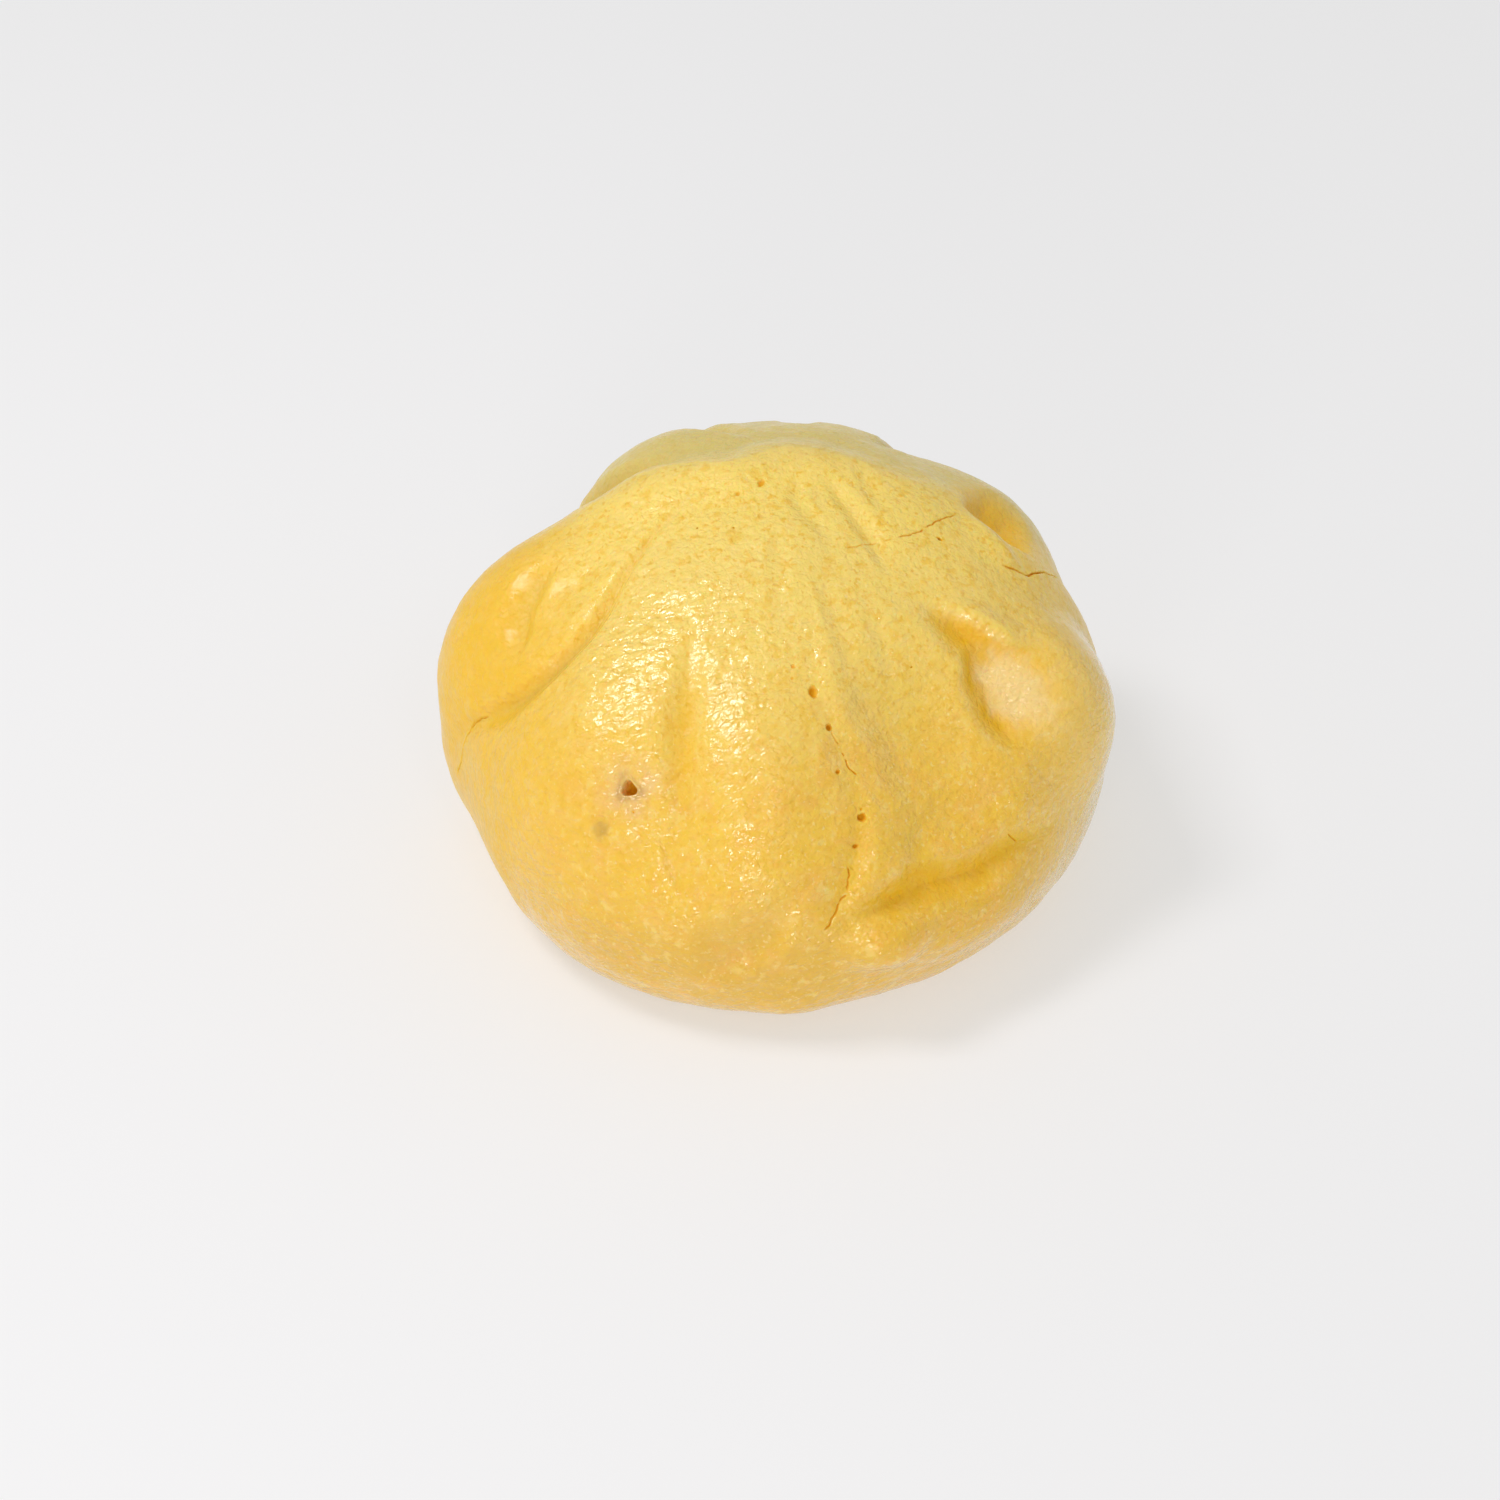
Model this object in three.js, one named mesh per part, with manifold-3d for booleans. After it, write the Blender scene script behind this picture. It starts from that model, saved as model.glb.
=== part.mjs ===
import * as THREE from 'three';
import { mergeVertices } from 'three/addons/utils/BufferGeometryUtils.js';
import Module from 'manifold-3d';

// A steamed bao bun: one dome of dough, gathered at the top, with folds that run down from the
// gather between plump lobes, a small vent hole in the front left lobe, and a flat foot.
// Millimetres, +Z up. The origin is at the middle of the underside, and the front faces -Y.
//
// A place on the bun is [direction, share]: the direction round it in degrees, with 0 at the
// right, 90 at the back, 180 at the left and 270 at the front, and the share of the way down
// from the gather (0) over the widest line (BELLY_SHARE) to the foot (1).

// Driving sizes
const HEIGHT = 57.7;
const GATHER_BACK = 6;
const GATHER_SIDE = 1;
const BELLY_HEIGHT = 17;
const BELLY_SHARE = 0.78;
const FOOT_INSET = 9;
const FOOT_START = 0.93;

// The widest line: direction, reach from the axis, and fullness of the shoulder above it, where
// 2 is an ellipse and less is nearer to a cone
const OUTLINE = [
  [0, 48.6, 2.1],
  [22, 44.9, 2.1],
  [45, 42.5, 2.1],
  [67, 44, 2.1],
  [90, 42, 2.1],
  [112, 41.8, 2.1],
  [135, 42, 2.1],
  [157, 43.8, 2],
  [180, 50.4, 2.1],
  [202, 48.9, 1.95],
  [225, 52, 1.8],
  [247, 53.8, 1.75],
  [270, 53.4, 1.75],
  [292, 51.8, 1.75],
  [315, 50.9, 1.8],
  [337, 50, 2],
];

// Folds, each along a path of places, walked away from the gather.
// depth: how far a valley sinks, or with a minus sign how far a ridge stands up.
// left, right: how far the fold reaches to either side of its path at the path's end.
// sharp: from 0, a soft trough, to 1, a crease.
// grow, fade: the shares of the path over which the fold comes up and dies away.
// start: the width at the start of the path as a share of the width at its end.
const FOLDS = {
  crest: {
    path: [
      [175, 0.33], [171, 0.22], [169, 0.13], [172, 0.065], [120, 0.035], [60, 0.04], [27, 0.075],
      [15, 0.13], [21, 0.22],
    ],
    depth: -1.7, left: 7, right: 9, sharp: 0.3, grow: 0.3, fade: 0.35, start: 1,
  },
  leftCrease: {
    path: [
      [170, 0.08], [193, 0.14], [203, 0.22], [210, 0.29], [214.5, 0.36], [214, 0.43],
      [210.5, 0.51], [203.5, 0.6], [196, 0.7], [191, 0.81],
    ],
    depth: 2.2, left: 5, right: 3.3, sharp: 0.35, grow: 0.65, fade: 0.5, start: 0.3,
  },
  leftRim: {
    path: [
      [198, 0.22], [204.5, 0.29], [208.5, 0.36], [208, 0.43], [204.5, 0.5], [197.5, 0.58],
      [190, 0.67],
    ],
    depth: -0.4, left: 3, right: 6, sharp: 0.2, grow: 0.5, fade: 0.4, start: 0.7,
  },
  leftStep: {
    path: [[190, 0.34], [193.5, 0.39], [197.5, 0.438], [201.5, 0.463], [205, 0.5]],
    depth: 1.3, left: 2.6, right: 5.5, sharp: 0.3, grow: 0.3, fade: 0.4, start: 0.8,
  },
  frontValley: {
    path: [
      [241.5, 0.275], [244.5, 0.32], [247.5, 0.37], [249.5, 0.43], [251, 0.48], [252.5, 0.53],
      [254, 0.62],
    ],
    depth: 1.1, left: 4.2, right: 4, sharp: 0.1, grow: 0.45, fade: 0.5, start: 0.8,
  },
  crackValley: {
    path: [[277, 0.36], [281, 0.44], [283.5, 0.53], [282, 0.6], [279.5, 0.66], [276.6, 0.72]],
    depth: 1, left: 4, right: 4.5, sharp: 0.35, grow: 1, fade: 0.15, start: 0.7,
  },
  crackRidge: {
    path: [
      [278, 0.17], [281.8, 0.25], [282, 0.34], [284.5, 0.408], [287.4, 0.447], [289.5, 0.5],
      [291.4, 0.54], [292, 0.6],
    ],
    depth: -0.6, left: 5, right: 3.2, sharp: 0.35, grow: 0.6, fade: 0.3, start: 0.8,
  },
  pleatOne: {
    path: [[300, 0.03], [284, 0.07], [287, 0.1], [296, 0.144], [294.5, 0.186], [293.5, 0.215]],
    depth: 0.42, left: 2.8, right: 2.6, sharp: 0.15, grow: 0.25, fade: 0.5, start: 0.7,
  },
  pleatTwo: {
    path: [
      [344, 0.048], [329, 0.094], [321.8, 0.137], [317, 0.188], [313.5, 0.225], [312.4, 0.255],
    ],
    depth: 0.75, left: 3, right: 2.2, sharp: 0.3, grow: 0.25, fade: 0.4, start: 0.8,
  },
  pleatThree: {
    path: [[378, 0.1], [356, 0.112], [344, 0.135], [334, 0.165]],
    depth: 0.45, left: 2.6, right: 2.2, sharp: 0.2, grow: 0.3, fade: 0.5, start: 0.9,
  },
  dent: {
    path: [
      [312.5, 0.275], [316.5, 0.306], [320.2, 0.34], [323.4, 0.373], [326, 0.403], [328, 0.44],
    ],
    depth: 2, left: 3.4, right: 6.2, sharp: 0.25, grow: 0.6, fade: 0.35, start: 0.8,
  },
  facetValley: {
    path: [[321.4, 0.375], [320.6, 0.43], [319.6, 0.488], [318.9, 0.524], [318, 0.57]],
    depth: 2.9, left: 13, right: 6, sharp: 0.3, grow: 0.28, fade: 0.45, start: 0.9,
  },
  rightRidge: {
    path: [[322, 0.3], [326.5, 0.366], [329.4, 0.4], [331, 0.43], [333, 0.47]],
    depth: -1.2, left: 4.5, right: 3, sharp: 0.3, grow: 0.5, fade: 0.4, start: 0.8,
  },
  rightGroove: {
    path: [
      [328.5, 0.34], [330.2, 0.37], [331.6, 0.394], [332.3, 0.42], [332.5, 0.45], [332.4, 0.49],
    ],
    depth: 0.2, left: 3.8, right: 3, sharp: 0.1, grow: 0.4, fade: 0.4, start: 0.8,
  },
  cornerValley: {
    path: [[296, 0.56], [294.5, 0.6], [292.5, 0.645], [289, 0.675]],
    depth: 0.6, left: 5, right: 3.5, sharp: 0.1, grow: 0.5, fade: 0.3, start: 0.8,
  },
  rollValley: {
    path: [
      [277, 0.73], [284, 0.705], [290, 0.69], [296, 0.69], [303, 0.703], [311, 0.69],
      [318, 0.697], [326, 0.715],
    ],
    depth: 2.1, left: 5.8, right: 4.5, sharp: 0.4, grow: 0.3, fade: 0.5, start: 0.8,
  },
  bottomValley: {
    path: [[273, 0.61], [270.5, 0.66], [267.5, 0.72], [264.5, 0.763], [261, 0.8], [257, 0.84]],
    depth: 1.6, left: 5, right: 8, sharp: 0.2, grow: 0.5, fade: 0.4, start: 0.8,
  },
  hollow: {
    path: [[368.5, 0.275], [365, 0.348], [362.5, 0.425]],
    depth: 4.2, left: 11.5, right: 4.2, sharp: 0.25, grow: 0.4, fade: 0.4, start: 0.9,
  },
  hollowEdge: {
    path: [[361, 0.27], [357.5, 0.292], [355, 0.315], [353, 0.34], [351.7, 0.366], [352.7, 0.397]],
    depth: -0.9, left: 3, right: 5, sharp: 0.3, grow: 0.35, fade: 0.4, start: 1,
  },
  backLeftValley: {
    path: [[150, 0.16], [157, 0.3], [155, 0.5], [154, 0.7]],
    depth: 3.2, left: 8, right: 6, sharp: 0.3, grow: 0.4, fade: 0.3, start: 0.6,
  },
  backPleat: {
    path: [[112, 0.14], [117, 0.3], [118, 0.5]],
    depth: 1.8, left: 5, right: 5, sharp: 0.3, grow: 0.4, fade: 0.4, start: 0.6,
  },
  backValley: {
    path: [[80, 0.22], [84, 0.36], [82, 0.58], [82, 0.78]],
    depth: 3, left: 8, right: 7, sharp: 0.3, grow: 0.45, fade: 0.3, start: 0.6,
  },
  backRightValley: {
    path: [[50, 0.2], [50, 0.4], [46, 0.62], [47, 0.76]],
    depth: 2.4, left: 7, right: 7, sharp: 0.3, grow: 0.4, fade: 0.3, start: 0.6,
  },
};

// The width of a fold where it has no depth yet, as a share of its full width
const WEAK_WIDTH = 0.55;

// Lobes that swell out of the bun, and with a minus sign basins that sink into it: the place of
// the middle, how far it spreads across and down the slope, and its height
const LOBES = {
  left: { at: [187, 0.52], across: 17, down: 22, height: 2.6 },
  frontLeft: { at: [230, 0.5], across: 18, down: 24, height: 2.4 },
  front: { at: [266, 0.5], across: 12, down: 22, height: 2.2 },
  frontFoot: { at: [272, 0.88], across: 9, down: 9, height: 0.9 },
  frontRightBasin: { at: [300, 0.47], across: 16, down: 20, height: -3.6 },
  basinFloor: { at: [300, 0.62], across: 14, down: 9, height: -1.2 },
  frontRoll: { at: [300, 0.8], across: 24, down: 8, height: 1.6 },
  rollEnd: { at: [286, 0.775], across: 8, down: 6.5, height: 2.6 },
  right: { at: [338, 0.58], across: 14.5, down: 18, height: 4 },
  backRight: { at: [30, 0.52], across: 18, down: 20, height: 3.2 },
  back: { at: [100, 0.5], across: 16, down: 20, height: 2 },
  backLeft: { at: [134, 0.36], across: 17, down: 20, height: 2.5 },
};

// The vent hole, round and tapered, with its mouth a little way inside the skin
const VENT_PLACE = [242.7, 0.518];
const VENT_MOUTH_RADIUS = 1.35;
const VENT_END_RADIUS = 0.7;
const VENT_DEPTH = 4;
const VENT_SIDES = 10;
const VENT_OVERRUN = 2;

// How finely the skin is faceted: the columns and rows of the first coarse facets, the rounds in
// which they are split, and how far the skin may stand off an edge before that
const COLUMNS = 60;
const ROWS = 28;
const REFINE_ROUNDS = 3;
const SKIN_TOLERANCE = 0.09;
const PATH_STEPS = 36;

const TURN = 360;
const radians = (degrees) => (degrees * Math.PI) / 180;
const clamp01 = (value) => Math.min(Math.max(value, 0), 1);
const smoothstep = (value) => value * value * (3 - 2 * value);

// Smooth curve value between b and c, with a and d the neighbours on either side
function blend(a, b, c, d, t) {
  const slope = c - a;
  const bend = 2 * a - 5 * b + 4 * c - d;
  const twist = 3 * b - a - 3 * c + d;
  return 0.5 * (2 * b + t * (slope + t * (bend + t * twist)));
}

// One column of OUTLINE at any direction, smooth all the way round
function outlineAt(direction, column) {
  const count = OUTLINE.length;
  const angle = ((direction % TURN) + TURN) % TURN;
  let last = count - 1;
  while (OUTLINE[last][0] > angle) {
    last -= 1;
  }
  const from = OUTLINE[last][0];
  const to = last + 1 < count ? OUTLINE[last + 1][0] : TURN;
  const value = (step) => OUTLINE[(last + step + count) % count][column];
  return blend(value(-1), value(0), value(1), value(2), (angle - from) / (to - from));
}

// The smooth bun without folds: a point for any direction and share
function smoothPoint(direction, share) {
  const reach = outlineAt(direction, 1);
  const fullness = outlineAt(direction, 2);
  const over = (clamp01(share / BELLY_SHARE) * Math.PI) / 2;
  const under = (clamp01((share - BELLY_SHARE) / (1 - BELLY_SHARE)) * Math.PI) / 2;
  const out = Math.sin(over) ** (2 / fullness);
  const rise = Math.max(Math.cos(over), 0) ** (2 / fullness);
  const radius = reach - FOOT_INSET * (1 - Math.cos(under));
  const x = GATHER_SIDE + (radius * Math.cos(radians(direction)) - GATHER_SIDE) * out;
  const y = GATHER_BACK + (radius * Math.sin(radians(direction)) - GATHER_BACK) * out;
  const shoulder = BELLY_HEIGHT + (HEIGHT - BELLY_HEIGHT) * rise;
  const z = share <= BELLY_SHARE ? shoulder : BELLY_HEIGHT * (1 - Math.sin(under));
  return new THREE.Vector3(x, y, z);
}

// The outward normal of the smooth bun, from its slopes round and down
function smoothNormal(direction, share) {
  const turnStep = 0.4;
  const shareStep = 0.003;
  const place = Math.min(Math.max(share, 4 * shareStep), 1 - shareStep);
  const round = smoothPoint(direction + turnStep, place).sub(smoothPoint(direction - turnStep, place));
  const down = smoothPoint(direction, place + shareStep).sub(smoothPoint(direction, place - shareStep));
  return down.cross(round).normalize();
}

// A fold's path as short straight pieces on the smooth bun, each with the normal at its start
function pathPieces(path) {
  const last = path.length - 1;
  const node = (i, k) => {
    if (i < 0) {
      return 2 * path[0][k] - path[1][k];
    }
    return i > last ? 2 * path[last][k] - path[last - 1][k] : path[i][k];
  };
  const points = [];
  const normals = [];
  for (let step = 0; step <= PATH_STEPS; step += 1) {
    const along = (step / PATH_STEPS) * last;
    const i = Math.min(Math.floor(along), last - 1);
    const [direction, share] = [0, 1].map((k) => (
      blend(node(i - 1, k), node(i, k), node(i + 1, k), node(i + 2, k), along - i)
    ));
    points.push(smoothPoint(direction, share));
    normals.push(smoothNormal(direction, share));
  }
  const pieces = [];
  let length = 0;
  for (let i = 0; i < PATH_STEPS; i += 1) {
    const span = points[i + 1].clone().sub(points[i]);
    pieces.push({ start: points[i], span, normal: normals[i], before: length, size: span.length() });
    length += span.length();
  }
  return { pieces, length };
}

// The nearest place on a path: how far away it is, how far along, and on which side
function nearest(point, { pieces, length }) {
  const best = { distance: Infinity, along: 0, onRight: false };
  for (const { start, span, normal, before, size } of pieces) {
    const offset = point.clone().sub(start);
    const t = clamp01(offset.dot(span) / (size * size));
    const away = offset.addScaledVector(span, -t);
    const distance = away.length();
    if (distance < best.distance) {
      best.distance = distance;
      best.along = (before + t * size) / length;
      best.onRight = span.clone().cross(away).dot(normal) < 0;
    }
  }
  return best;
}

// How far one fold moves the skin out at a point of the smooth bun
function foldRelief(point, fold) {
  const { distance, along, onRight } = nearest(point, fold.line);
  const side = onRight ? fold.right : fold.left;
  const comesUp = smoothstep(clamp01(along / fold.grow));
  const diesAway = smoothstep(clamp01((1 - along) / fold.fade));
  const strength = comesUp * diesAway;
  const full = side * (fold.start + (1 - fold.start) * along);
  const width = full * (WEAK_WIDTH + (1 - WEAK_WIDTH) * strength);
  const x = clamp01(distance / width);
  const trough = (1 - x * x) ** 2;
  const crease = (1 - x) ** 2;
  return -fold.depth * strength * (trough + (crease - trough) * fold.sharp);
}

// How far one lobe or basin moves the skin out at a point of the smooth bun
function lobeRelief(point, lobe) {
  const offset = point.clone().sub(lobe.middle);
  const across = offset.dot(lobe.round) / lobe.across;
  const down = offset.dot(lobe.slope) / lobe.down;
  const through = offset.dot(lobe.normal) / Math.max(lobe.across, lobe.down);
  return lobe.height * clamp01(1 - across ** 2 - down ** 2 - through ** 2) ** 2;
}

const folds = Object.values(FOLDS).map((fold) => ({ ...fold, line: pathPieces(fold.path) }));

const lobes = Object.values(LOBES).map((lobe) => {
  const [direction, share] = lobe.at;
  const middle = smoothPoint(direction, share);
  const normal = smoothNormal(direction, share);
  const round = smoothPoint(direction + 1, share).sub(smoothPoint(direction - 1, share)).normalize();
  return { ...lobe, middle, normal, round, slope: round.clone().cross(normal) };
});

// A point of the finished skin, which comes back to the smooth form at the flat foot
function skinPoint(direction, share) {
  const point = smoothPoint(direction, share);
  let relief = 0;
  for (const fold of folds) {
    relief += foldRelief(point, fold);
  }
  for (const lobe of lobes) {
    relief += lobeRelief(point, lobe);
  }
  relief *= 1 - smoothstep(clamp01((share - FOOT_START) / (1 - FOOT_START)));
  point.addScaledVector(smoothNormal(direction, share), relief);
  point.z = Math.max(point.z, 0);
  return point;
}

// The first coarse facets: rows of places from the gather to the foot, closed by one corner in
// the middle of the gather and one in the middle of the flat underside
function coarseFacets() {
  const corners = [];
  for (let column = 0; column < COLUMNS; column += 1) {
    for (let row = 1; row <= ROWS; row += 1) {
      corners.push(skinCorner((column * TURN) / COLUMNS, row / ROWS));
    }
  }
  const gather = corners.push(skinCorner(0, 0)) - 1;
  const foot = corners.push({ point: new THREE.Vector3() }) - 1;
  const facets = [];
  for (let column = 0; column < COLUMNS; column += 1) {
    const here = column * ROWS;
    const next = ((column + 1) % COLUMNS) * ROWS;
    facets.push([gather, here, next]);
    for (let row = 0; row < ROWS - 1; row += 1) {
      facets.push(...splitFour(corners, here + row, here + row + 1, next + row + 1, next + row));
    }
    facets.push([foot, next + ROWS - 1, here + ROWS - 1]);
  }
  return { corners, facets };
}

// A corner of the skin, which remembers its place
function skinCorner(direction, share) {
  return { direction, share, point: skinPoint(direction, share) };
}

// A four-sided facet as two triangles, split along its shorter diagonal
function splitFour(corners, a, b, c, d) {
  const first = corners[a].point.distanceTo(corners[c].point);
  const second = corners[b].point.distanceTo(corners[d].point);
  return first < second ? [[a, b, c], [a, c, d]] : [[a, b, d], [b, c, d]];
}

// The place part of the way along an edge, or nothing on the flat underside
function placeBetween(from, to, t) {
  if (from.share === undefined || to.share === undefined) {
    return undefined;
  }
  const start = from.share === 0 ? to.direction : from.direction;
  const end = to.share === 0 ? from.direction : to.direction;
  const turn = ((end - start + TURN * 1.5) % TURN) - TURN / 2;
  return [start + turn * t, from.share + (to.share - from.share) * t];
}

// How far the skin stands off a straight edge, at its furthest
function edgeGap(from, to) {
  let gap = 0;
  for (const t of [0.25, 0.5, 0.75]) {
    const place = placeBetween(from, to, t);
    if (place) {
      const offset = skinPoint(...place).sub(from.point.clone().lerp(to.point, t));
      gap = Math.max(gap, Math.abs(offset.dot(smoothNormal(...place))));
    }
  }
  return gap;
}

// One round of refining: each edge that the skin stands off by too much gets a corner at its
// middle, and each facet is split over its new corners, so that no gap opens between facets
function refine({ corners, facets }) {
  const middles = new Map();
  const middleOf = (a, b) => {
    const key = a < b ? `${a} ${b}` : `${b} ${a}`;
    if (!middles.has(key)) {
      const bends = edgeGap(corners[a], corners[b]) > SKIN_TOLERANCE;
      const place = bends && placeBetween(corners[a], corners[b], 0.5);
      middles.set(key, bends ? corners.push(skinCorner(...place)) - 1 : undefined);
    }
    return middles.get(key);
  };
  const finer = [];
  for (const [a, b, c] of facets) {
    const ring = [a, middleOf(a, b), b, middleOf(b, c), c, middleOf(c, a)];
    finer.push(...splitRing(corners, ring));
  }
  return { corners, facets: finer };
}

// A triangle with up to three extra corners on its edges, as smaller triangles
function splitRing(corners, [a, ab, b, bc, c, ca]) {
  const count = [ab, bc, ca].filter((corner) => corner !== undefined).length;
  if (count === 0) {
    return [[a, b, c]];
  }
  if (count === 3) {
    return [[a, ab, ca], [ab, b, bc], [ca, bc, c], [ab, bc, ca]];
  }
  const lone = count === 1 ? ab : ca;
  if ((count === 1) === (lone === undefined)) {
    return splitRing(corners, [b, bc, c, ca, a, ab]);
  }
  if (count === 1) {
    return [[a, ab, c], [ab, b, c]];
  }
  return [[ab, b, bc], ...splitFour(corners, a, ab, bc, c)];
}

// The dough as one closed skin, with the finest facets where its folds bend most
function doughGeometry() {
  let skin = coarseFacets();
  for (let round = 0; round < REFINE_ROUNDS; round += 1) {
    skin = refine(skin);
  }
  const positions = skin.corners.flatMap(({ point }) => point.toArray());
  const geometry = new THREE.BufferGeometry();
  geometry.setAttribute('position', new THREE.Float32BufferAttribute(positions, 3));
  geometry.setIndex(skin.facets.flat());
  return geometry;
}

// The space of the vent hole, a tapered plug that stands out of the skin
function ventGeometry() {
  const taper = (VENT_MOUTH_RADIUS - VENT_END_RADIUS) / VENT_DEPTH;
  const outer = VENT_MOUTH_RADIUS + taper * VENT_OVERRUN;
  const profile = [
    new THREE.Vector2(0, -VENT_DEPTH),
    new THREE.Vector2(VENT_END_RADIUS, -VENT_DEPTH),
    new THREE.Vector2(outer, VENT_OVERRUN),
    new THREE.Vector2(0, VENT_OVERRUN),
  ];
  const geometry = new THREE.LatheGeometry(profile, VENT_SIDES);
  const axis = new THREE.Vector3(0, 1, 0);
  geometry.applyQuaternion(new THREE.Quaternion().setFromUnitVectors(axis, smoothNormal(...VENT_PLACE)));
  geometry.translate(...skinPoint(...VENT_PLACE).toArray());
  return geometry;
}

const wasm = await Module();
wasm.setup();

// A closed geometry as a solid that can be joined and cut
function toSolid(geometry) {
  const bare = geometry.clone();
  bare.deleteAttribute('normal');
  bare.deleteAttribute('uv');
  const merged = mergeVertices(bare);
  const mesh = new wasm.Mesh({
    numProp: 3,
    vertProperties: new Float32Array(merged.attributes.position.array),
    triVerts: new Uint32Array(merged.index.array),
  });
  return new wasm.Manifold(mesh);
}

// A solid back as a geometry, moved so that its underside is centred on the origin
function toGeometry(solid) {
  const { vertProperties, triVerts } = solid.getMesh();
  const geometry = new THREE.BufferGeometry();
  geometry.setAttribute('position', new THREE.Float32BufferAttribute(vertProperties, 3));
  geometry.setIndex(new THREE.Uint32BufferAttribute(triVerts, 1));
  geometry.computeBoundingBox();
  const middle = geometry.boundingBox.getCenter(new THREE.Vector3());
  geometry.translate(-middle.x, -middle.y, -geometry.boundingBox.min.z);
  geometry.computeVertexNormals();
  return geometry;
}

// Soft yellow steamed dough with a moist, slightly glossy skin
const dough = new THREE.MeshStandardMaterial({ color: 0xf2c35c, roughness: 0.4, metalness: 0 });

const vented = toSolid(doughGeometry()).subtract(toSolid(ventGeometry()));
const bun = new THREE.Mesh(toGeometry(vented), dough);
bun.name = 'bun';

const bao = new THREE.Group();
bao.add(bun);

export default bao;
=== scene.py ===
import math
from collections import namedtuple

import bpy
import numpy as np
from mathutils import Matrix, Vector


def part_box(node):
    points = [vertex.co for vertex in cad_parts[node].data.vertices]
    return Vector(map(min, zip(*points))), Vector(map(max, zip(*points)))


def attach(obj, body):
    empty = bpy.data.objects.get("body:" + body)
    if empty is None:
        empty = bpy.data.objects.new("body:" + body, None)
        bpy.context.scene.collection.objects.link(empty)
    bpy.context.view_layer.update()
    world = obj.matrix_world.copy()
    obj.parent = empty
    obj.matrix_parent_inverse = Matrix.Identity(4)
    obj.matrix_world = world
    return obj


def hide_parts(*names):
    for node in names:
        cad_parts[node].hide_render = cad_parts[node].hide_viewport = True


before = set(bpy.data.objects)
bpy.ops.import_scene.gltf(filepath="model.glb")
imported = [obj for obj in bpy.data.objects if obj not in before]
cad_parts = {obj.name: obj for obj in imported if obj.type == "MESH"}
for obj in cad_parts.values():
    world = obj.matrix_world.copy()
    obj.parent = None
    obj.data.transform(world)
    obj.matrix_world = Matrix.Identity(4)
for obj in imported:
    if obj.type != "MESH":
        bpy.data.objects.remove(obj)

# A steamed bao bun: one dome of dough, gathered at the top, with folds that run down from the
# gather between plump lobes. The form is worked out in millimetres and built in metres.
#
# A place on the bun is (direction, share): the direction round it in degrees, with 0 at the
# right, 90 at the back, 180 at the left and 270 at the front, and the share of the way down
# from the gather (0) over the widest line (BELLY_SHARE) to the foot (1) and on across the flat
# underside to its middle (2).

# A millimetre in metres, and a full turn in degrees
MM = 0.001
TURN = 360.0

# Driving sizes of the smooth form: its height, how far back and to the right the gather lies,
# the height and share of the widest line, how far in from it the foot stands, and the share
# from which folds and lobes die away toward the foot
HEIGHT = 57.7
GATHER_BACK = 6.0
GATHER_SIDE = 1.0
BELLY_HEIGHT = 17.0
BELLY_SHARE = 0.78
FOOT_INSET = 9.0
FOOT_START = 0.93

# In how many steps a fold's path is followed, and the width of a fold where it has no depth
# yet, as a share of its full width
PATH_STEPS = 36
WEAK_WIDTH = 0.55

# The widest line: direction, reach from the axis, and fullness of the shoulder above it, where
# 2 is an ellipse and less is nearer to a cone
OUTLINE = np.array([
    (0, 48.6, 2.1),
    (22, 44.9, 2.1),
    (45, 42.5, 2.1),
    (67, 44, 2.1),
    (90, 42, 2.1),
    (112, 41.8, 2.1),
    (135, 42, 2.1),
    (157, 43.8, 2),
    (180, 50.4, 2.1),
    (202, 48.9, 1.95),
    (225, 52, 1.8),
    (247, 53.8, 1.75),
    (270, 53.4, 1.75),
    (292, 51.8, 1.75),
    (315, 50.9, 1.8),
    (337, 50, 2),
])

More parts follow.
